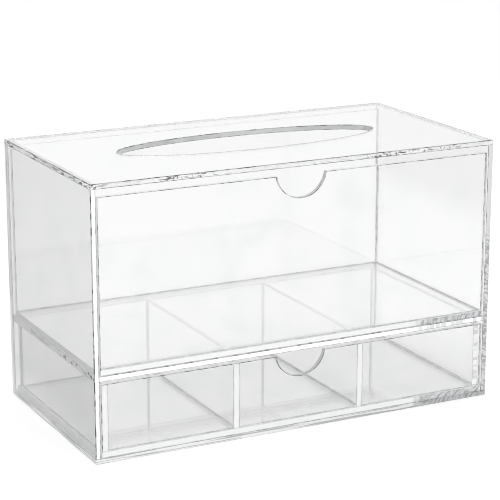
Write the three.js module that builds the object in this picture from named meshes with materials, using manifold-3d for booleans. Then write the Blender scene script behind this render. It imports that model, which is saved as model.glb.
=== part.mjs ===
// Clear acrylic tissue box holder. An open-fronted case holds a pull-out tray that carries
// the tissues and, below a shelf, a drawer in equal compartments. Every piece is cut from
// sheet and bonded edge to edge. Millimetres, +Z up, front towards -Y, and the origin is
// under the middle of the case.

import * as THREE from 'three';
import { mergeVertices } from 'three/addons/utils/BufferGeometryUtils.js';
import Module from 'manifold-3d';

const wasm = await Module();
wasm.setup();

// Stock that every piece is cut from
const sheet = 3;
const edgeEase = 0.5; // radius polished on the free rims
const easeSteps = 2; // facets across one eased rim

// Case, outside sizes, and the clear height of the drawer bay
const caseWidth = 250;
const caseDepth = 130;
const caseHeight = 155;
const drawerBayHeight = 43.5;

// Oval slot in the top panel
const slotLength = 163;
const slotWidth = 48;
const slotSegments = 96;

// Room that the tray and the drawer slide with
const runningGap = 0.25; // under each floor
const sideClearance = 0.75; // each side, between a floor or a front and the case
const trayBackClearance = 2;
const trayTopClearance = 4.25;
const trayBackTopClearance = 2.25; // the tray's back stands a little higher than its front
const drawerBackClearance = 2;
const drawerTopClearance = 1.75;

// Half-moon finger notch in the top edge of both fronts
const notchWidth = 30.5;
const notchDepth = 13.25;
const notchLipRadius = 0.75;
const notchSegments = 28;
const lipSegments = 4;

// Drawer walls
const drawerWallInset = 1.25; // side walls stand this far in from the ends of the drawer's floor
const compartments = 3;

// How far a square edge, or a cutter, runs past the face that trims it
const overrun = 4 * edgeEase;

// Places worked out from the sizes above
const caseFront = -caseDepth / 2;
const caseBack = caseDepth / 2;
const backPanelFront = caseBack - sheet;
const shelfBottom = sheet + drawerBayHeight;
const shelfTop = shelfBottom + sheet;
const topPanelBottom = caseHeight - sheet;
const slidingWidth = caseWidth - 2 * (sheet + sideClearance);

const acrylicLook = {
  color: 0xf3f7f8,
  roughness: 0.05,
  metalness: 0,
  transparent: true,
  opacity: 0.35,
};

function toSolid(geometry) {
  const bare = geometry.clone();
  bare.deleteAttribute('normal');
  bare.deleteAttribute('uv');
  const merged = mergeVertices(bare);
  return new wasm.Manifold(new wasm.Mesh({
    numProp: 3,
    vertProperties: new Float32Array(merged.attributes.position.array),
    triVerts: new Uint32Array(merged.index.array),
  }));
}

function toGeometry(solid) {
  const { vertProperties, triVerts, numProp } = solid.getMesh();
  const geometry = new THREE.BufferGeometry();
  geometry.setAttribute('position', new THREE.BufferAttribute(vertProperties, numProp));
  geometry.setIndex(new THREE.BufferAttribute(triVerts, 1));
  geometry.computeVertexNormals();
  return geometry;
}

function block(low, high) {
  const size = high.clone().sub(low);
  const geometry = new THREE.BoxGeometry(size.x, size.y, size.z);
  const middle = low.clone().add(high).divideScalar(2);
  return geometry.translate(middle.x, middle.y, middle.z);
}

function arcPoints(x, y, radius, from, to, segments) {
  const clockwise = to < from;
  return new THREE.EllipseCurve(x, y, radius, radius, from, to, clockwise).getPoints(segments);
}

// Points of the notch from right to left. It is a round cut centred a little above the edge,
// and each lip is a small round tangent to both the edge and the cut.
function notchPoints(middle, top) {
  const radius = (notchWidth ** 2 / 4 + notchDepth ** 2) / (2 * notchDepth);
  const rise = radius - notchDepth;
  const drop = rise + notchLipRadius;
  const lipReach = Math.sqrt((radius + notchLipRadius) ** 2 - drop ** 2);
  const tilt = Math.atan2(drop, lipReach);
  const lipY = top - notchLipRadius;
  const upright = Math.PI / 2;
  return [
    ...arcPoints(middle + lipReach, lipY, notchLipRadius, upright, Math.PI - tilt, lipSegments),
    ...arcPoints(middle, top + rise, radius, -tilt, tilt - Math.PI, notchSegments).slice(1, -1),
    ...arcPoints(middle - lipReach, lipY, notchLipRadius, tilt, upright, lipSegments),
  ];
}

// A flat sheet in its own frame: width along X, height along Y, and thickness along Z.
// eased names the sides and faces that are free. A rim is rounded where a free side meets
// a free face. The others run past the trimming block, so they end square for bonding.
function cutSheet(width, height, eased, notched = false) {
  const past = (side) => (eased.includes(side) ? 0 : overrun);
  const left = -past('left');
  const right = width + past('right');
  const bottom = -past('bottom');
  const top = height + past('top');

  const outline = new THREE.Shape([
    new THREE.Vector2(left, bottom),
    new THREE.Vector2(right, bottom),
    new THREE.Vector2(right, top),
    ...(notched ? notchPoints(width / 2, top) : []),
    new THREE.Vector2(left, top),
  ]);

  const near = -past('near');
  const far = sheet + past('far');
  const slab = new THREE.ExtrudeGeometry(outline, {
    depth: far - near - 2 * edgeEase,
    bevelThickness: edgeEase,
    bevelSize: edgeEase,
    bevelOffset: -edgeEase,
    bevelSegments: easeSteps,
  });
  slab.translate(0, 0, near + edgeEase);

  const nominal = block(new THREE.Vector3(), new THREE.Vector3(width, height, sheet));
  return toSolid(slab).intersect(toSolid(nominal));
}

// Closed loft through level ellipses that all have the same number of points
function loftEllipses(rings) {
  const positions = [];
  for (const { halfLength, halfWidth, z } of rings) {
    for (let i = 0; i < slotSegments; i++) {
      const angle = (i / slotSegments) * 2 * Math.PI;
      positions.push(halfLength * Math.cos(angle), halfWidth * Math.sin(angle), z);
    }
  }
  const under = positions.length / 3;
  positions.push(0, 0, rings[0].z);
  const over = under + 1;
  positions.push(0, 0, rings[rings.length - 1].z);

  const faces = [];
  const lastRing = (rings.length - 1) * slotSegments;
  for (let i = 0; i < slotSegments; i++) {
    const next = (i + 1) % slotSegments;
    faces.push(under, next, i);
    faces.push(over, lastRing + i, lastRing + next);
    for (let start = 0; start < lastRing; start += slotSegments) {
      const above = start + slotSegments;
      faces.push(start + i, start + next, above + next);
      faces.push(start + i, above + next, above + i);
    }
  }
  const geometry = new THREE.BufferGeometry();
  geometry.setAttribute('position', new THREE.Float32BufferAttribute(positions, 3));
  geometry.setIndex(faces);
  return geometry;
}

// The slot's cutter flares at both faces of the sheet, so tissues pull over a rounded rim.
function slotCutter() {
  const ring = (flare, z) => ({
    halfLength: slotLength / 2 + flare,
    halfWidth: slotWidth / 2 + flare,
    z,
  });
  const underRim = [];
  const overRim = [];
  for (let step = 0; step <= easeSteps; step++) {
    const turn = (step / easeSteps) * (Math.PI / 2);
    const flare = edgeEase * (1 - Math.sin(turn));
    const depth = edgeEase * (1 - Math.cos(turn));
    underRim.push(ring(flare, depth));
    overRim.unshift(ring(flare, sheet - depth));
  }
  const below = ring(edgeEase, -overrun);
  const above = ring(edgeEase, sheet + overrun);
  return toSolid(loftEllipses([below, ...underRim, ...overRim, above]));
}

function makePiece(name, solid) {
  const piece = new THREE.Mesh(toGeometry(solid), new THREE.MeshStandardMaterial(acrylicLook));
  piece.name = name;
  return piece;
}

// A level sheet: near face down, height towards the back
function levelPiece(name, solid, x, y, z) {
  const piece = makePiece(name, solid);
  piece.position.set(x, y, z);
  return piece;
}

// A sheet across the case: far face to the front, thickness from y towards the front
function acrossPiece(name, solid, x, y, z) {
  const piece = makePiece(name, solid);
  piece.position.set(x, y, z);
  piece.rotation.x = Math.PI / 2;
  return piece;
}

// A sheet from front to back: width towards the back, thickness towards +X
function alongPiece(name, solid, x, y, z) {
  const piece = makePiece(name, solid);
  piece.position.set(x, y, z);
  piece.quaternion.set(0.5, 0.5, 0.5, 0.5);
  return piece;
}

function makeCase() {
  const group = new THREE.Group();
  const innerHeight = topPanelBottom - sheet;
  const sideDepth = backPanelFront - caseFront;

  const bottom = cutSheet(caseWidth, caseDepth, ['left', 'right', 'bottom', 'top', 'near']);
  group.add(levelPiece('bottom_panel', bottom, -caseWidth / 2, caseFront, 0));

  const slot = slotCutter().translate(caseWidth / 2, caseDepth / 2, 0);
  const top = cutSheet(caseWidth, caseDepth, ['left', 'right', 'bottom', 'top', 'far']).subtract(slot);
  group.add(levelPiece('top_panel', top, -caseWidth / 2, caseFront, topPanelBottom));

  const back = cutSheet(caseWidth, innerHeight, ['left', 'right', 'near']);
  group.add(acrossPiece('back_panel', back, -caseWidth / 2, caseBack, sheet));

  const side = cutSheet(sideDepth, innerHeight, ['left', 'near', 'far']);
  group.add(alongPiece('left_side_panel', side, -caseWidth / 2, caseFront, sheet));
  group.add(alongPiece('right_side_panel', side, caseWidth / 2 - sheet, caseFront, sheet));

  const shelf = cutSheet(caseWidth - 2 * sheet, sideDepth, ['bottom', 'near', 'far']);
  group.add(levelPiece('middle_shelf', shelf, sheet - caseWidth / 2, caseFront, shelfBottom));
  return group;
}

// The tray and the drawer share this base: a floor with a notched front on its front edge.
function slidingBase(prefix, depth, frontHeight) {
  const group = new THREE.Group();

  const floor = cutSheet(slidingWidth, depth, ['left', 'right', 'bottom', 'top', 'near']);
  group.add(levelPiece(`${prefix}_floor`, floor, -slidingWidth / 2, 0, 0));

  const front = cutSheet(slidingWidth, frontHeight, ['left', 'right', 'top', 'near', 'far'], true);
  group.add(acrossPiece(`${prefix}_front_panel`, front, -slidingWidth / 2, sheet, sheet));
  return group;
}

function makeTray() {
  const depth = backPanelFront - trayBackClearance - caseFront;
  const floorTop = shelfTop + runningGap + sheet;
  const tray = slidingBase('tray', depth, topPanelBottom - trayTopClearance - floorTop);
  tray.position.set(0, caseFront, shelfTop + runningGap);

  const backHeight = topPanelBottom - trayBackTopClearance - floorTop;
  const back = cutSheet(slidingWidth, backHeight, ['left', 'right', 'top', 'near', 'far']);
  tray.add(acrossPiece('tray_back', back, -slidingWidth / 2, depth, sheet));
  return tray;
}

function makeDrawer() {
  const depth = backPanelFront - drawerBackClearance - caseFront;
  const floorTop = sheet + runningGap + sheet;
  const wallHeight = shelfBottom - drawerTopClearance - floorTop;
  const wallDepth = depth - 2 * sheet;
  const bodyWidth = slidingWidth - 2 * drawerWallInset;
  const drawer = slidingBase('drawer', depth, wallHeight);
  drawer.position.set(0, caseFront, sheet + runningGap);

  const freeTop = ['top', 'near', 'far'];
  const wall = cutSheet(wallDepth, wallHeight, freeTop);
  drawer.add(alongPiece('drawer_left_side', wall, -bodyWidth / 2, sheet, sheet));
  drawer.add(alongPiece('drawer_right_side', wall, bodyWidth / 2 - sheet, sheet, sheet));

  const back = cutSheet(bodyWidth, wallHeight, freeTop);
  drawer.add(acrossPiece('drawer_back', back, -bodyWidth / 2, depth, sheet));

  const pitch = (bodyWidth - sheet) / compartments;
  for (let i = 1; i < compartments; i++) {
    drawer.add(alongPiece(`drawer_divider_${i}`, wall, i * pitch - bodyWidth / 2, sheet, sheet));
  }
  return drawer;
}

const holder = new THREE.Group();
holder.add(makeCase(), makeTray(), makeDrawer());

export default holder;
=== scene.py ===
import math
import bmesh
import bpy
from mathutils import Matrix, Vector


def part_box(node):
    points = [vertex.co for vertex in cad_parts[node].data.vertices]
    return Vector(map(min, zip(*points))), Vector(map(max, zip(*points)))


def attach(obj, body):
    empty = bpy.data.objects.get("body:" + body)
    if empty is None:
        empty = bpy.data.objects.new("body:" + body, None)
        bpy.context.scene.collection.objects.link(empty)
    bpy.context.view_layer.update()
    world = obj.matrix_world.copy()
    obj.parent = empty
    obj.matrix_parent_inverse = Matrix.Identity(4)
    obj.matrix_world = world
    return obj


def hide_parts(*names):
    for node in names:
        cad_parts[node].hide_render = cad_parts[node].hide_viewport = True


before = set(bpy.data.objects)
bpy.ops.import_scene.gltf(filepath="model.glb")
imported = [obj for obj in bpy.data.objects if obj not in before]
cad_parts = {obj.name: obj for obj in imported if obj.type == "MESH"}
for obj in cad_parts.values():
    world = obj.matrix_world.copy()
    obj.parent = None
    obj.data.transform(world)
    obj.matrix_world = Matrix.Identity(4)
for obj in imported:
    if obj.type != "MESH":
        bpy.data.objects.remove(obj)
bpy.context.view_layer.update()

mm = 0.001
touching = 1e-6  # metres within which two places count as one
straightOn = 0.999  # cosine over which a face looks along an axis
smoothUnder = 40  # degrees between faces, under which an edge is shaded smooth
noiseDetail = 2.0  # octaves of every noise
scene = bpy.context.scene


# Camera, fitted to the corners of the case in the photograph

cameraPlace = {
    "position": (-0.484, -0.954, 0.379),
    "turn": 26.95,  # degrees to the right of straight ahead
    "dip": 15.17,  # degrees below level
    "lens": 136.4,  # focal length in millimetres, as the sensor's width is
    "sensor": 36,
    "nearest": 0.05,  # this and the farthest are in metres from the camera
    "farthest": 20,
}


def addCamera():
    camera = bpy.data.objects.new("camera", bpy.data.cameras.new("camera"))
    scene.collection.objects.link(camera)
    camera.location = cameraPlace["position"]
    camera.rotation_euler = (math.radians(90 - cameraPlace["dip"]), 0, -math.radians(cameraPlace["turn"]))
    camera.data.lens = cameraPlace["lens"]
    camera.data.sensor_width = cameraPlace["sensor"]
    camera.data.clip_start = cameraPlace["nearest"]
    camera.data.clip_end = cameraPlace["farthest"]
    scene.camera = camera


addCamera()


# Materials: cast acrylic sheet, one finish for each way its surface was made

castAcrylic = {
    "ior": 1.49,
    "shadowTint": "#FCFCFC",  # a clear sheet casts hardly any shadow
}


def hexColor(code):
    # sRGB hex to linear
    channels = [int(code[i:i + 2], 16) / 255 for i in (1, 3, 5)]
    return tuple(c / 12.92 if c <= 0.04045 else ((c + 0.055) / 1.055) ** 2.4 for c in channels) + (1,)


def addNode(tree, kind, settings=None, inputs=None):
    node = tree.nodes.new(kind)
    for name, value in (settings or {}).items():
        setattr(node, name, value)
    for name, value in (inputs or {}).items():
        socket = node.inputs[name]
        if isinstance(value, bpy.types.NodeSocket):
            tree.links.new(value, socket)
        else:
            socket.default_value = value
    return node


def newMaterial(name):
    material = bpy.data.materials.new(name)
    material.use_nodes = True
    material.node_tree.nodes.clear()
    return material, material.node_tree


def clearShader(tree, tint, roughness, clear=1.0, normal=None):
    # the acrylic itself, and for shadows a way straight through
    inputs = {
        "Base Color": tint,
        "Roughness": roughness,
        "IOR": castAcrylic["ior"],
        "Transmission Weight": clear,
    }
    if normal:
        inputs["Normal"] = normal
    acrylic = addNode(tree, "ShaderNodeBsdfPrincipled", None, inputs)
    path = addNode(tree, "ShaderNodeLightPath")
    through = addNode(tree, "ShaderNodeBsdfTransparent", None, {"Color": hexColor(castAcrylic["shadowTint"])})
    mixed = addNode(tree, "ShaderNodeMixShader", None, {
        "Fac": path.outputs["Is Shadow Ray"], 1: acrylic.outputs[0], 2: through.outputs[0]})
    addNode(tree, "ShaderNodeOutputMaterial", None, {"Surface": mixed.outputs[0]})


def drawnNoise(tree, axis, along, across, start=0.0):
    # noise of two pitches: across the thickness of the sheet, and along the edge
    place = addNode(tree, "ShaderNodeTexCoord")
    stretch = [1 / along] * 3
    stretch[axis] = 1 / across
    drawn = addNode(tree, "ShaderNodeMapping", None, {
        "Vector": place.outputs["Object"], "Scale": stretch, "Location": (start, 0, 0)})
    noise = addNode(tree, "ShaderNodeTexNoise", None, {
        "Vector": drawn.outputs[0], "Scale": 1.0, "Detail": noiseDetail})
    return noise.outputs[0]


polishedFace = {
    "tint": "#FEFEFE",
    "smudgeTint": "#FBFCFC",
    "smudgeSize": 30 * mm,
    "smudgeLevels": (0.5, 0.7),  # levels of the noise between which a smudge comes in, as for the marks below
    "smudgeRoughness": 0.012,
}


def polishedAcrylic(axis):
    # the cast face of the sheet: water clear, a mirror at a low angle, with the faintest hand smudges
    material, tree = newMaterial("castAcrylicPolishedFace" + "XYZ"[axis])
    hand = drawnNoise(tree, axis, polishedFace["smudgeSize"], polishedFace["smudgeSize"])
    low, high = polishedFace["smudgeLevels"]
    smudge = addNode(tree, "ShaderNodeMapRange", None, {"Value": hand, "From Min": low, "From Max": high})
    tint = addNode(tree, "ShaderNodeMix", {"data_type": "RGBA"}, {
        "Factor": smudge.outputs[0],
        6: hexColor(polishedFace["tint"]),
        7: hexColor(polishedFace["smudgeTint"]),
    })
    haze = addNode(tree, "ShaderNodeMapRange", None, {
        "Value": smudge.outputs[0], "To Max": polishedFace["smudgeRoughness"]})
    clearShader(tree, tint.outputs[2], haze.outputs[0])
    return material


easedRim = {
    # painted shade: this grey and the dark tint below colour in the dark line that the clear rim shows by
    # bending the room's light
    "tint": "#B0B2B3",
    "darkTint": "#2E3032",
    "roughness": 0.3,
    "clear": 0.8,
    "dashLength": 4.5 * mm,
    "dashWidth": 2 * mm,
    "dashLevels": (0.44, 0.52),
}


def easedAcrylic(axis):
    # rims rounded by a scraper and flame: a thin line of painted shade, dark and lighter grey in dashes,
    # standing in for the dark line the rounded rim draws where it bends the room
    material, tree = newMaterial("castAcrylicEasedRimPaintedShade" + "XYZ"[axis])
    waver = drawnNoise(tree, axis, easedRim["dashLength"], easedRim["dashWidth"])
    low, high = easedRim["dashLevels"]
    dash = addNode(tree, "ShaderNodeMapRange", None, {"Value": waver, "From Min": low, "From Max": high})
    tint = addNode(tree, "ShaderNodeMix", {"data_type": "RGBA"}, {
        "Factor": dash.outputs[0], 6: hexColor(easedRim["darkTint"]), 7: hexColor(easedRim["tint"])})
    clearShader(tree, tint.outputs[2], easedRim["roughness"], easedRim["clear"])
    return material


sawnEdge = {
    "tint": "#FAFAFA",
    # painted shade: the dark of the streaks and nicks, for how the cut's chips look dark where they bend the
    # room's light
    "darkTint": "#3A3C3E",
    "roughness": 0.3,
    "clear": 0.45,  # the rest scatters at the saw marks
    "streakLength": 6 * mm,
    "streakWidth": 0.9 * mm,  # real saw marks are about 0.2 mm apart, drawn coarser so that they show
    "streakLevels": (0.54, 0.62),
    "nickPitch": 1.2 * mm,  # real nicks are about 0.3 mm wide, drawn coarser as well
    "nickLevels": (0.56, 0.64),
    "patchSize": 42 * mm,
    "patchStart": 1.6,  # slides the rough patches along the edge
    "patchLevels": (0.43, 0.51),
    "quiet": 0.2,  # strength of the marks outside the rough patches
    "depth": 0.05 * mm,
}


def sawnAcrylic(axis):
    # a saw-cut edge: bright and milky, with streaks along the cut and patches of nicks; the marks are real,
    # their dark colour is painted shade for how the cut's chips look dark where they bend the room
    material, tree = newMaterial("castAcrylicSawnEdgeMarksAndPaintedShade" + "XYZ"[axis])
    streak = drawnNoise(tree, axis, sawnEdge["streakLength"], sawnEdge["streakWidth"])
    nick = drawnNoise(tree, axis, sawnEdge["nickPitch"], sawnEdge["nickPitch"])
    patch = drawnNoise(tree, axis, sawnEdge["patchSize"], sawnEdge["patchSize"], sawnEdge["patchStart"])
    low, high = sawnEdge["streakLevels"]
    streaks = addNode(tree, "ShaderNodeMapRange", None, {"Value": streak, "From Min": low, "From Max": high})
    low, high = sawnEdge["nickLevels"]
    nicks = addNode(tree, "ShaderNodeMapRange", None, {"Value": nick, "From Min": low, "From Max": high})
    low, high = sawnEdge["patchLevels"]
    patches = addNode(tree, "ShaderNodeMapRange", None, {
        "Value": patch, "From Min": low, "From Max": high, "To Min": sawnEdge["quiet"]})
    marks = addNode(tree, "ShaderNodeMath", {"operation": "MAXIMUM"}, {
        0: streaks.outputs[0], 1: nicks.outputs[0]})
    dark = addNode(tree, "ShaderNodeMath", {"operation": "MULTIPLY"}, {
        0: marks.outputs[0], 1: patches.outputs[0]})
    tint = addNode(tree, "ShaderNodeMix", {"data_type": "RGBA"}, {
        "Factor": dark.outputs[0], 6: hexColor(sawnEdge["tint"]), 7: hexColor(sawnEdge["darkTint"])})
    height = addNode(tree, "ShaderNodeMath", {"operation": "ADD"}, {0: streak, 1: nick})
    bump = addNode(tree, "ShaderNodeBump", None, {
        "Strength": 1.0, "Distance": sawnEdge["depth"], "Height": height.outputs[0]})
    clearShader(tree, tint.outputs[2], sawnEdge["roughness"], sawnEdge["clear"], bump.outputs[0])
    return material


chatteredEdge = {
    "tint": "#EBECEC",
    # the grey that the edge turns towards the right of the box
    "rightEndTint": "#D0D1D2",
    "markTint": "#989A9C",
    "roughness": 0.3,
    "clear": 0.05,
    "markPitch": 1.1 * mm,
    "markLength": 4 * mm,
    "markLevels": (0.46, 0.58),
    "slant": 35,  # degrees that the marks lean
    # from here to the right of the box the edge is greyer and marked
    "rightEndFrom": (74 * mm, 80 * mm),  # where the cutter begins to jump, to the right of the middle
    "marksUnder": (105 * mm, 92 * mm),  # height under which it leaves marks
}


def rightEnd(tree):
    # 1 towards the right of the box, where the cutter jumped, and 0 elsewhere
    place = addNode(tree, "ShaderNodeTexCoord")
    spot = addNode(tree, "ShaderNodeSeparateXYZ", None, {"Vector": place.outputs["Object"]})
    start, full = chatteredEdge["rightEndFrom"]
    rightward = addNode(tree, "ShaderNodeMapRange", None, {
        "Value": spot.outputs["X"], "From Min": start, "From Max": full})
    return rightward.outputs[0]


def chatter(tree, axis, base):
    # towards the right of the box the edge turns grey, and there the cutter jumped and left slanted marks
    place = addNode(tree, "ShaderNodeTexCoord")
    size = [chatteredEdge["markPitch"]] * 3
    size[axis] = chatteredEdge["markLength"]
    slanted = addNode(tree, "ShaderNodeMapping", {"vector_type": "TEXTURE"}, {
        "Vector": place.outputs["Object"],
        "Scale": size,
        "Rotation": (0, math.radians(chatteredEdge["slant"]), 0),
    })
    mark = addNode(tree, "ShaderNodeTexNoise", None, {
        "Vector": slanted.outputs[0], "Scale": 1.0, "Detail": noiseDetail})
    low, high = chatteredEdge["markLevels"]
    marked = addNode(tree, "ShaderNodeMapRange", None, {
        "Value": mark.outputs[0], "From Min": low, "From Max": high})
    rightward = rightEnd(tree)
    spot = addNode(tree, "ShaderNodeSeparateXYZ", None, {"Vector": place.outputs["Object"]})
    top, full = chatteredEdge["marksUnder"]
    under = addNode(tree, "ShaderNodeMapRange", None, {
        "Value": spot.outputs["Z"], "From Min": top, "From Max": full})
    where = addNode(tree, "ShaderNodeMath", {"operation": "MULTIPLY"}, {0: rightward, 1: under.outputs[0]})
    marks = addNode(tree, "ShaderNodeMath", {"operation": "MULTIPLY"}, {
        0: where.outputs[0], 1: marked.outputs[0]})
    grey = addNode(tree, "ShaderNodeMix", {"data_type": "RGBA"}, {
        "Factor": rightward, 6: base, 7: hexColor(chatteredEdge["rightEndTint"])})
    ribbed = addNode(tree, "ShaderNodeMix", {"data_type": "RGBA"}, {
        "Factor": marks.outputs[0], 6: grey.outputs[2], 7: hexColor(chatteredEdge["markTint"])})
    return ribbed.outputs[2]


def chatteredAcrylic(axis):
    # an edge cut with a jumping cutter: off-white, and grey and ribbed at its right end
    material, tree = newMaterial("castAcrylicChatteredEdge" + "XYZ"[axis])
    tint = chatter(tree, axis, hexColor(chatteredEdge["tint"]))
    clearShader(tree, tint, chatteredEdge["roughness"], chatteredEdge["clear"])
    return material


planedEdge = {
    "tint": "#FEFEFE",
    "markTint": "#DCDEDE",
    "roughness": 0.3,
    "clear": 0.05,
    "markPitch": 3 * mm,
    "markLength": 24 * mm,  # longer than the sheet is thick, so every mark goes right across
    "markLevels": (0.46, 0.54),
}


def planedAcrylic(axis):
    # an edge planed after sawing: a clean white strip, with pale grey blocks where the cutter jumped
    material, tree = newMaterial("castAcrylicPlanedEdge" + "XYZ"[axis])
    mark = drawnNoise(tree, axis, planedEdge["markPitch"], planedEdge["markLength"])
    low, high = planedEdge["markLevels"]
    marked = addNode(tree, "ShaderNodeMapRange", None, {"Value": mark, "From Min": low, "From Max": high})
    marks = addNode(tree, "ShaderNodeMath", {"operation": "MULTIPLY"}, {
        0: marked.outputs[0], 1: rightEnd(tree)})
    tint = addNode(tree, "ShaderNodeMix", {"data_type": "RGBA"}, {
        "Factor": marks.outputs[0], 6: hexColor(planedEdge["tint"]), 7: hexColor(planedEdge["markTint"])})
    clearShader(tree, tint.outputs[2], planedEdge["roughness"], planedEdge["clear"])
    return material


scrapedEdge = {
    "tint": "#FAFAFA",
    "lineTint": "#B4B6B8",
    "roughness": 0.3,
    "clear": 0.4,
    "lineLength": 60 * mm,
    "lineWidth": 1.1 * mm,  # a scraper's real lines are under 0.1 mm, drawn coarser so that they show
    "lineLevels": (0.5, 0.6),
}


def scrapedAcrylic(axis):
    # an edge scraped along its length: pale, with long fine grey lines
    material, tree = newMaterial("castAcrylicScrapedEdge" + "XYZ"[axis])
    line = drawnNoise(tree, axis, scrapedEdge["lineLength"], scrapedEdge["lineWidth"])
    low, high = scrapedEdge["lineLevels"]
    lines = addNode(tree, "ShaderNodeMapRange", None, {"Value": line, "From Min": low, "From Max": high})
    lined = addNode(tree, "ShaderNodeMix", {"data_type": "RGBA"}, {
        "Factor": lines.outputs[0], 6: hexColor(scrapedEdge["tint"]), 7: hexColor(scrapedEdge["lineTint"])})
    tint = chatter(tree, axis, lined.outputs[2])
    clearShader(tree, tint, scrapedEdge["roughness"], scrapedEdge["clear"])
    return material


routedEdge = {
    # painted shade: this grey tint draws the even grey line along the slot and notches
    "tint": "#D4D6D7",
    "roughness": 0.3,
    "clear": 0.8,
    "ripplePitch": 2.2 * mm,  # real router marks are about 0.3 mm apart, drawn coarser so that they show
    "depth": 0.03 * mm,
}


def routedAcrylic(axis):
    # the routed walls of the slot and notches, flamed after: smooth but cloudy, their grey tint painted shade
    # that draws the even grey line these walls show
    material, tree = newMaterial("castAcrylicRoutedEdgePaintedShade" + "XYZ"[axis])
    ripple = drawnNoise(tree, axis, routedEdge["ripplePitch"], routedEdge["ripplePitch"])
    bump = addNode(tree, "ShaderNodeBump", None, {
        "Strength": 1.0, "Distance": routedEdge["depth"], "Height": ripple})
    clearShader(tree, hexColor(routedEdge["tint"]), routedEdge["roughness"], routedEdge["clear"],
                bump.outputs[0])
    return material


solventWeld = {
    "tint": "#FEFEFE",
    "darkTint": "#3C3E40",
    "roughness": 0.1,
    "bubbleRoughness": 0.3,
    "clear": 0.2,  # the rest is the cloudy skin of the melted face
    "beadPitch": 1.8 * mm,  # real bubbles are under 0.5 mm wide, drawn coarser so that they show
    "beadLevels": (0.56, 0.62),
    "patchSize": 26 * mm,
    "patchLevels": (0.44, 0.5),
    "trapped": (0.1, 0.1, 1.0),  # most bubbles where a flat sheet was slid in between two walls
    "depth": 0.01 * mm,
}


def weldedAcrylic(axis):
    # an edge melted to its neighbour with solvent: a pale cloudy band, here and there with strings of bubbles
    material, tree = newMaterial("castAcrylicSolventWeld" + "XYZ"[axis])
    bead = drawnNoise(tree, axis, solventWeld["beadPitch"], solventWeld["beadPitch"])
    patch = drawnNoise(tree, axis, solventWeld["patchSize"], solventWeld["patchSize"])
    low, high = solventWeld["beadLevels"]
    bubbles = addNode(tree, "ShaderNodeMapRange", None, {"Value": bead, "From Min": low, "From Max": high})
    low, high = solventWeld["patchLevels"]
    patches = addNode(tree, "ShaderNodeMapRange", None, {
        "Value": patch, "From Min": low, "From Max": high, "To Max": solventWeld["trapped"][axis]})
    strings = addNode(tree, "ShaderNodeMath", {"operation": "MULTIPLY"}, {
        0: bubbles.outputs[0], 1: patches.outputs[0]})
    tint = addNode(tree, "ShaderNodeMix", {"data_type": "RGBA"}, {
        "Factor": strings.outputs[0], 6: hexColor(solventWeld["tint"]), 7: hexColor(solventWeld["darkTint"])})
    haze = addNode(tree, "ShaderNodeMapRange", None, {
        "Value": strings.outputs[0],
        "To Min": solventWeld["roughness"],
        "To Max": solventWeld["bubbleRoughness"],
    })
    bump = addNode(tree, "ShaderNodeBump", None, {
        "Strength": 1.0, "Distance": solventWeld["depth"], "Height": bead})
    clearShader(tree, tint.outputs[2], haze.outputs[0], solventWeld["clear"], bump.outputs[0])
    return material


drawnCement = {
    "tint": "#F4F5F5",
    "darkTint": "#D0D2D3",
    "roughness": 0.3,
    "clear": 0.7,
    "wavePitch": 5 * mm,
    "waveLevels": (0.4, 0.6),
}


def cementAcrylic():
    # cement drawn into the corners: a fine cloudy line along each joint
    material, tree = newMaterial("acrylicSolventCement")
    flow = drawnNoise(tree, 0, drawnCement["wavePitch"], drawnCement["wavePitch"])
    low, high = drawnCement["waveLevels"]
    wave = addNode(tree, "ShaderNodeMapRange", None, {"Value": flow, "From Min": low, "From Max": high})
    tint = addNode(tree, "ShaderNodeMix", {"data_type": "RGBA"}, {
        "Factor": wave.outputs[0], 6: hexColor(drawnCement["darkTint"]), 7: hexColor(drawnCement["tint"])})
    clearShader(tree, tint.outputs[2], drawnCement["roughness"], drawnCement["clear"])
    return material


# one set for each axis that the thickness of a sheet can run along
finishes = [
    [polishedAcrylic(axis), easedAcrylic(axis), sawnAcrylic(axis), planedAcrylic(axis),
     scrapedAcrylic(axis), chatteredAcrylic(axis), routedAcrylic(axis), weldedAcrylic(axis)]
    for axis in range(3)
]
polished, eased, sawn, planed, scraped, chattered, routed, welded = range(8)
cementFinish = cementAcrylic()
print("finishes mixed")


# How every sheet is cut, eased and joined

sides = {
    "left": (0, -1), "right": (0, 1),
    "front": (1, -1), "back": (1, 1),
    "under": (2, -1), "over": (2, 1),
}

stock = {
    "rim": 0.3 * mm,  # radius scraped on the free rims
    "rimSteps": 3,
    "leaning": 0.02,  # cosine over which a narrow face belongs to a rounded rim
    "weld": 0.02 * mm,  # how far a bonded side sinks into its neighbour, where the solvent melts both
    "film": 0.05 * mm,  # air left where a side only butts against its neighbour
    "cutterReach": 4,  # length of a cutter, in thicknesses of the sheet
}


def dropSelection():
    bpy.ops.object.select_all(action="DESELECT")


def pick(piece):
    dropSelection()
    piece.select_set(True)
    bpy.context.view_layer.objects.active = piece


def blockPiece(name, low, high):
    dropSelection()
    bpy.ops.mesh.primitive_cube_add(size=1, location=(low + high) / 2, scale=high - low)
    piece = bpy.context.object
    piece.name = name
    bpy.ops.object.transform_apply(location=True, rotation=True, scale=True)
    return piece


def onSide(point, low, high, side):
    axis, way = sides[side]
    plane = high[axis] if way > 0 else low[axis]
    return abs(point[axis] - plane) < touching


def editMesh(piece):
    pick(piece)
    bpy.ops.object.mode_set(mode="EDIT")
    bpy.ops.mesh.select_mode(type="EDGE")
    bpy.ops.mesh.select_all(action="DESELECT")
    return bmesh.from_edit_mesh(piece.data)


def bevelPicked(piece, mesh, size, steps, profile=0.5):
    mesh.select_flush_mode()
    bmesh.update_edit_mesh(piece.data)
    bpy.ops.mesh.bevel(offset=size, segments=steps, profile=profile, affect="EDGES")
    bpy.ops.object.mode_set(mode="OBJECT")


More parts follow.
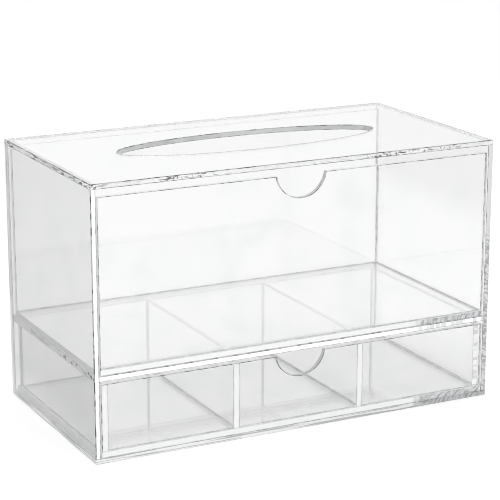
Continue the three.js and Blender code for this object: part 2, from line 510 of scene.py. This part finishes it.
def easeRims(piece, low, high, axis, sharp, square, rim):
    # rounds each edge where a free narrow side meets a free face
    mesh = editMesh(piece)
    for edge in mesh.edges:
        broad = [f for f in edge.link_faces if abs(f.normal[axis]) > straightOn]
        narrow = [f for f in edge.link_faces if abs(f.normal[axis]) <= straightOn]
        if len(broad) != 1 or len(narrow) != 1:
            continue
        joined = any(onSide(narrow[0].calc_center_median(), low, high, s) for s in sharp)
        kept = any(onSide(broad[0].calc_center_median(), low, high, s) for s in square)
        edge.select = not joined and not kept
    bevelPicked(piece, mesh, rim, stock["rimSteps"])


def finishSheet(piece, low, high, axis, bonded, edge):
    for material in finishes[axis]:
        piece.data.materials.append(material)
    for face in piece.data.polygons:
        if abs(face.normal[axis]) > straightOn:
            face.material_index = polished
        elif any(onSide(face.center, low, high, s) for s in bonded):
            face.material_index = welded
        elif abs(face.normal[axis]) > stock["leaning"]:
            face.material_index = eased
        elif any(onSide(face.center, low, high, s) for s in sides):
            face.material_index = edge
        else:
            face.material_index = routed
    pick(piece)
    bpy.ops.object.shade_smooth_by_angle(angle=math.radians(smoothUnder))
    bpy.ops.object.modifier_add(type="WEIGHTED_NORMAL")
    piece.modifiers[-1].keep_sharp = True
    bpy.ops.object.modifier_apply(modifier=piece.modifiers[-1].name)


def shiftSide(low, high, side, amount):
    axis, way = sides[side]
    if way > 0:
        high[axis] += amount
    else:
        low[axis] -= amount


def makeSheet(node, name, body, sheet, cut=None):
    low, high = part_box(node)
    bonded = sheet.get("bonded", ())
    butted = sheet.get("butted", ())
    for side in bonded:
        shiftSide(low, high, side, stock["weld"])
    for side in butted:
        shiftSide(low, high, side, -stock["film"])
    piece = blockPiece(name, low, high)
    if cut:
        cut(piece, low, high)
    easeRims(piece, low, high, sheet["through"], bonded + butted, sheet.get("square", ()),
             sheet.get("rim", stock["rim"]))
    finishSheet(piece, low, high, sheet["through"], bonded, sheet.get("edge", sawn))
    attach(piece, body)
    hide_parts(node)


def cutAway(piece, cutter):
    pick(piece)
    bpy.ops.object.modifier_add(type="BOOLEAN")
    piece.modifiers[-1].object = cutter
    piece.modifiers[-1].operation = "DIFFERENCE"
    piece.modifiers[-1].solver = "EXACT"
    bpy.ops.object.modifier_apply(modifier=piece.modifiers[-1].name)
    pick(cutter)
    bpy.ops.object.delete()


# Top panel with its oval slot

topPanel = {
    "through": 2,  # the axis that the sheet's thickness runs along: 0, 1 or 2 for X, Y or Z
    "rim": 0.4 * mm,
    "slotLength": 163 * mm,
    "slotWidth": 48 * mm,
    "slotSteps": 160,
}


def cutSlot(piece, low, high):
    dropSelection()
    bpy.ops.mesh.primitive_cylinder_add(vertices=topPanel["slotSteps"], radius=0.5,
                                        depth=stock["cutterReach"] * (high.z - low.z),
                                        location=(low + high) / 2)
    cutter = bpy.context.object
    cutter.scale = (topPanel["slotLength"], topPanel["slotWidth"], 1)
    bpy.ops.object.transform_apply(location=True, rotation=True, scale=True)
    cutAway(piece, cutter)


makeSheet("top_panel", "topPanelSheet", "case", topPanel, cutSlot)
print("top panel cut and slotted")


# The other sheets of the case

bottomPanel = {"through": 2, "edge": scraped, "rim": 0.15 * mm}
backPanel = {"through": 1, "bonded": ("under", "over"), "square": ("front",), "edge": scraped}
leftPanel = {"through": 0, "bonded": ("under", "over", "back"), "edge": planed, "rim": 0.5 * mm}
rightPanel = {**leftPanel, "edge": chattered, "rim": 0.2 * mm}
middleShelf = {"through": 2, "bonded": ("left", "right", "back"), "edge": planed}

makeSheet("bottom_panel", "bottomPanelSheet", "case", bottomPanel)
makeSheet("back_panel", "backPanelSheet", "case", backPanel)
makeSheet("left_side_panel", "leftSideSheet", "case", leftPanel)
makeSheet("right_side_panel", "rightSideSheet", "case", rightPanel)
makeSheet("middle_shelf", "middleShelfSheet", "case", middleShelf)
print("case sheets made")


# Fronts with their half-moon notch

frontPanel = {
    "through": 1,
    "bonded": ("under",),
    "edge": planed,
    "notchWidth": 30.5 * mm,
    "notchDepth": 13.25 * mm,
    "notchSteps": 96,
    "lip": 0.4 * mm,
    "lipSteps": 4,
}


def cutNotch(piece, low, high):
    width, depth = frontPanel["notchWidth"], frontPanel["notchDepth"]
    radius = (width ** 2 / 4 + depth ** 2) / (2 * depth)
    middle = (low + high) / 2
    middle.z = high.z + radius - depth
    dropSelection()
    bpy.ops.mesh.primitive_cylinder_add(vertices=frontPanel["notchSteps"], radius=radius,
                                        depth=stock["cutterReach"] * (high.y - low.y),
                                        location=middle, rotation=(math.pi / 2, 0, 0))
    cutter = bpy.context.object
    bpy.ops.object.transform_apply(location=True, rotation=True, scale=True)
    cutAway(piece, cutter)
    # then the two lips are rounded, where the notch meets the top edge
    mesh = editMesh(piece)
    for edge in mesh.edges:
        a, b = (v.co for v in edge.verts)
        across = abs((a - b).normalized().y) > straightOn
        inner = min(abs(a.x - low.x), abs(a.x - high.x)) > width
        edge.select = across and inner and abs(a.z - high.z) < touching
    bevelPicked(piece, mesh, frontPanel["lip"], frontPanel["lipSteps"])


makeSheet("tray_front_panel", "trayFrontSheet", "tray", frontPanel, cutNotch)
makeSheet("drawer_front_panel", "drawerFrontSheet", "drawer", frontPanel, cutNotch)
print("fronts notched")


# Tray and drawer

trayFloor = {"through": 2, "square": ("over",), "edge": chattered}
drawerFloor = {"through": 2, "square": ("over",), "edge": chattered, "rim": 0.15 * mm}
innerBack = {"through": 1, "bonded": ("under",), "edge": planed, "rim": 0.2 * mm}
drawerWall = {
    "through": 0,
    "bonded": ("under", "back"),
    "butted": ("front",),
    "edge": planed,
    "rim": 0.2 * mm,
}

makeSheet("tray_floor", "trayFloorSheet", "tray", trayFloor)
makeSheet("tray_back", "trayBackSheet", "tray", innerBack)
makeSheet("drawer_floor", "drawerFloorSheet", "drawer", drawerFloor)
makeSheet("drawer_left_side", "drawerLeftSheet", "drawer", drawerWall)
makeSheet("drawer_right_side", "drawerRightSheet", "drawer", drawerWall)
makeSheet("drawer_back", "drawerBackSheet", "drawer", innerBack)
for number in (1, 2):
    makeSheet(f"drawer_divider_{number}", f"drawerDividerSheet{number}", "drawer", drawerWall)
print("tray and drawer sheets made")


# Fillets of cement in the corners of each open box

cornerFillet = {
    "leg": 0.45 * mm,
    "steps": 3,
    "hollow": 0.2,  # bevel profile under a half makes the fillet hollow
}


def filletCorner(low, high, first, second):
    # a bar along the corner between two sides, its outer edge hollowed
    start, end = low.copy(), high.copy()
    for side in (first, second):
        axis, way = sides[side]
        if way > 0:
            start[axis], end[axis] = high[axis] - cornerFillet["leg"], high[axis] + stock["weld"]
        else:
            start[axis], end[axis] = low[axis] - stock["weld"], low[axis] + cornerFillet["leg"]
    bar = blockPiece("fillet", start, end)
    mesh = editMesh(bar)
    inner = {sides[s][0]: (start if sides[s][1] > 0 else end)[sides[s][0]] for s in (first, second)}
    for edge in mesh.edges:
        edge.select = all(abs(v.co[a] - inner[a]) < touching for v in edge.verts for a in inner)
    bevelPicked(bar, mesh, cornerFillet["leg"], cornerFillet["steps"], cornerFillet["hollow"])
    return bar


def filletBox(low, high, openSides):
    closed = [s for s in sides if s not in openSides]
    pairs = [(a, b) for i, a in enumerate(closed) for b in closed[i + 1:] if sides[a][0] != sides[b][0]]
    return [filletCorner(low, high, a, b) for a, b in pairs]


def finishFillets(name, body, bars):
    dropSelection()
    for bar in bars:
        bar.select_set(True)
    bpy.context.view_layer.objects.active = bars[0]
    bpy.ops.object.join()
    piece = bpy.context.object
    piece.name = name
    piece.data.materials.append(cementFinish)
    bpy.ops.object.shade_smooth_by_angle(angle=math.radians(smoothUnder))
    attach(piece, body)


def between(left, right, front, back, under, over):
    # the open space inside six sheets
    low = Vector((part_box(left)[1].x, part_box(front)[1].y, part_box(under)[1].z))
    high = Vector((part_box(right)[0].x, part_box(back)[0].y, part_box(over)[0].z))
    return low, high


def caseFillets():
    tissueBay = between("left_side_panel", "right_side_panel", "tray_front_panel", "back_panel",
                        "middle_shelf", "top_panel")
    drawerBay = between("left_side_panel", "right_side_panel", "drawer_front_panel", "back_panel",
                        "bottom_panel", "middle_shelf")
    return filletBox(*tissueBay, ("front",)) + filletBox(*drawerBay, ("front",))


def drawerFillets():
    walls = ["drawer_left_side", "drawer_divider_1", "drawer_divider_2", "drawer_right_side"]
    bars = []
    for left, right in zip(walls, walls[1:]):
        low, high = between(left, right, "drawer_front_panel", "drawer_back", "drawer_floor", "middle_shelf")
        high.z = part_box(left)[1].z
        bars += filletBox(low, high, ("over",))
    return bars


def trayFillets():
    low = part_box("tray_front_panel")[0]
    low.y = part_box("tray_front_panel")[1].y
    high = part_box("tray_back")[1]
    high.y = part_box("tray_back")[0].y
    return [filletCorner(low, high, side, "under") for side in ("front", "back")]


finishFillets("caseCement", "case", caseFillets())
finishFillets("drawerCement", "drawer", drawerFillets())
finishFillets("trayCement", "tray", trayFillets())
print("joints cemented")


# Studio

studio = {
    "white": "#FFFFFF",
    "floorTint": "#F8F8F8",
    "floor": 6,  # metres along each side
    "clearance": 0.2 * mm,  # air between the floor and the box
    "floorGlow": 0.12,  # for the camera alone, so that the far floor is white
    "leftFloor": 0.35,  # level of the floor to the left of the box, as its reflections show it
    "leftFrom": (-0.15, -0.10),  # where that level ends and the full one begins
    "roomLight": 0.9,  # what the room sheds on matt surfaces
    "ceiling": 0.25,  # level of the ceiling
    "ceilingFrom": (0.62, 0.8),  # height on the room's unit sphere at which the wall turns into the ceiling
    "front": 0.8,  # level of the wall behind the camera
    "frontFrom": (-0.25, 0.0),  # where that wall ends on the same sphere, along Y
    "guided": 2,  # reflections after which light in a sheet meets that wall in full
    "lampPlace": (-0.5, -1.1, 1.3),
    "lampSize": 1.0,
    "lampPower": 10,
    "bounces": 96,  # enough for light that runs along inside a sheet
    "shadowBounces": 64,
    "pixelFilter": 1.0,  # pixels, narrow so that the fine lines stay sharp
}


def addFloor():
    dropSelection()
    bpy.ops.mesh.primitive_plane_add(size=studio["floor"], location=(0, 0, -studio["clearance"]))
    floor = bpy.context.object
    floor.name = "floor"
    material, tree = newMaterial("paleStudioFloor")
    place = addNode(tree, "ShaderNodeTexCoord")
    along = addNode(tree, "ShaderNodeSeparateXYZ", None, {"Vector": place.outputs["Object"]})
    start, full = studio["leftFrom"]
    left = addNode(tree, "ShaderNodeMapRange", None, {
        "Value": along.outputs["X"], "From Min": start, "From Max": full, "To Min": studio["leftFloor"]})
    path = addNode(tree, "ShaderNodeLightPath")
    # only light that was reflected once sees the floor to the left darker
    reflected = addNode(tree, "ShaderNodeMath", {"operation": "COMPARE"}, {
        0: path.outputs["Glossy Depth"], 1: 1.0, 2: 0.5})
    level = addNode(tree, "ShaderNodeMix", {"data_type": "FLOAT"}, {
        "Factor": reflected.outputs[0], 2: 1.0, 3: left.outputs["Result"]})
    paint = addNode(tree, "ShaderNodeBsdfDiffuse", None, {"Color": hexColor(studio["floorTint"])})
    glowing = addNode(tree, "ShaderNodeMath", {"operation": "MULTIPLY"}, {
        0: path.outputs["Is Camera Ray"], 1: studio["floorGlow"]})
    glow = addNode(tree, "ShaderNodeEmission", None, {
        "Color": hexColor(studio["white"]), "Strength": glowing.outputs[0]})
    both = addNode(tree, "ShaderNodeAddShader", None, {0: paint.outputs[0], 1: glow.outputs[0]})
    dark = addNode(tree, "ShaderNodeEmission", None, {"Color": hexColor(studio["white"]), "Strength": 0.0})
    seen = addNode(tree, "ShaderNodeMixShader", None, {
        "Fac": level.outputs[0], 1: dark.outputs[0], 2: both.outputs[0]})
    addNode(tree, "ShaderNodeOutputMaterial", None, {"Surface": seen.outputs[0]})
    floor.data.materials.append(material)


def addRoom():
    world = bpy.data.worlds.new("studioRoom")
    scene.world = world
    world.use_nodes = True
    tree = world.node_tree
    tree.nodes.clear()
    place = addNode(tree, "ShaderNodeTexCoord")
    heading = addNode(tree, "ShaderNodeSeparateXYZ", None, {"Vector": place.outputs["Generated"]})
    start, full = studio["ceilingFrom"]
    ceiling = addNode(tree, "ShaderNodeMapRange", None, {
        "Value": heading.outputs["Z"],
        "From Min": start,
        "From Max": full,
        "To Min": 1.0,
        "To Max": studio["ceiling"],
    })
    start, full = studio["frontFrom"]
    front = addNode(tree, "ShaderNodeMapRange", None, {
        "Value": heading.outputs["Y"], "From Min": start, "From Max": full, "To Min": studio["front"]})
    room = addNode(tree, "ShaderNodeMath", {"operation": "MULTIPLY"}, {
        0: ceiling.outputs["Result"], 1: front.outputs["Result"]})
    path = addNode(tree, "ShaderNodeLightPath")
    guided = addNode(tree, "ShaderNodeMapRange", None, {
        "Value": path.outputs["Glossy Depth"], "From Max": studio["guided"]})
    backdrop = addNode(tree, "ShaderNodeMix", {"data_type": "FLOAT"}, {
        "Factor": guided.outputs["Result"], 2: ceiling.outputs["Result"], 3: room.outputs[0]})
    seen = addNode(tree, "ShaderNodeMath", {"operation": "MAXIMUM"}, {
        0: path.outputs["Is Glossy Ray"], 1: path.outputs["Is Transmission Ray"]})
    lit = addNode(tree, "ShaderNodeMix", {"data_type": "FLOAT"}, {
        "Factor": seen.outputs[0], 2: studio["roomLight"], 3: backdrop.outputs[0]})
    strength = addNode(tree, "ShaderNodeMix", {"data_type": "FLOAT"}, {
        "Factor": path.outputs["Is Camera Ray"], 2: lit.outputs[0], 3: 1.0})
    light = addNode(tree, "ShaderNodeBackground", None, {
        "Color": hexColor(studio["white"]), "Strength": strength.outputs[0]})
    addNode(tree, "ShaderNodeOutputWorld", None, {"Surface": light.outputs[0]})


def addSoftbox():
    lamp = bpy.data.objects.new("softboxInFront", bpy.data.lights.new("softboxInFront", "AREA"))
    scene.collection.objects.link(lamp)
    lamp.location = studio["lampPlace"]
    lamp.rotation_euler = (-Vector(studio["lampPlace"])).to_track_quat("-Z", "Y").to_euler()
    lamp.data.size = studio["lampSize"]
    lamp.data.energy = studio["lampPower"]


addFloor()
addRoom()
addSoftbox()

scene.view_settings.view_transform = "Standard"
scene.cycles.filter_width = studio["pixelFilter"]
scene.cycles.max_bounces = studio["bounces"]
scene.cycles.transmission_bounces = studio["bounces"]
scene.cycles.glossy_bounces = studio["bounces"]
scene.cycles.transparent_max_bounces = studio["shadowBounces"]
print("studio ready")
